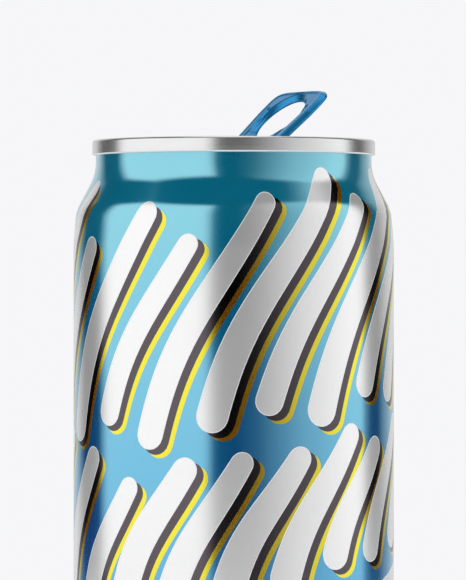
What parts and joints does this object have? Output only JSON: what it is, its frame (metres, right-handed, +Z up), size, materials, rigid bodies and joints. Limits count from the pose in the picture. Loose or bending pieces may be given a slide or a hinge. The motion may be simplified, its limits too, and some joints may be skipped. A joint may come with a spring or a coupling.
{
  "type": "drinks can with stay-on tab",
  "caption": "Slim aluminium drinks can with a necked shoulder, seamed lid, raised stay-on pull tab and an opened tear panel in the mouth.",
  "frame": {"origin": "centre of the circle that the can stands on, at the foot", "axes": "+Z up along the can's axis; the mouth is towards -Y and the tab's heel towards +Y"},
  "size_m": [0.0574, 0.0574, 0.1548],
  "materials": {
    "printed_body": "translucent blue ink over bright aluminium, cyan at the neck to deep blue low down, with silver, dark grey and yellow brush strokes under a gloss varnish",
    "bare_aluminium": "satin rolled aluminium under clear lacquer",
    "blue_tab": "blue coated aluminium, semi-gloss",
    "sealing_compound": "matt grey-green gasket compound"
  },
  "bodies": {
    "can": {"can_body": "printed_body", "can_end": "bare_aluminium", "rivet": "bare_aluminium", "seam_compound": "sealing_compound", "tab_island": "blue_tab"},
    "tab": {"pull_tab": "blue_tab"},
    "flap": {"tear_panel": "bare_aluminium"}
  },
  "joints": [
    {"name": "tab_lift", "type": "hinge", "parent": "can", "child": "tab", "pos_m": [0, 0, 0.1409], "axis": [1, 0, 0], "range_deg": [-41.3, 38.7]},
    {"name": "tear_panel_fold", "type": "hinge", "parent": "can", "child": "flap", "pos_m": [-0.01, 0, 0.1399], "axis": [0, 1, 0], "range_deg": [-45.5, 42.6]}
  ],
  "couplings": [
    {"joint": "tear_panel_fold", "follows": "tab_lift", "ratio": 1.1}
  ]
}
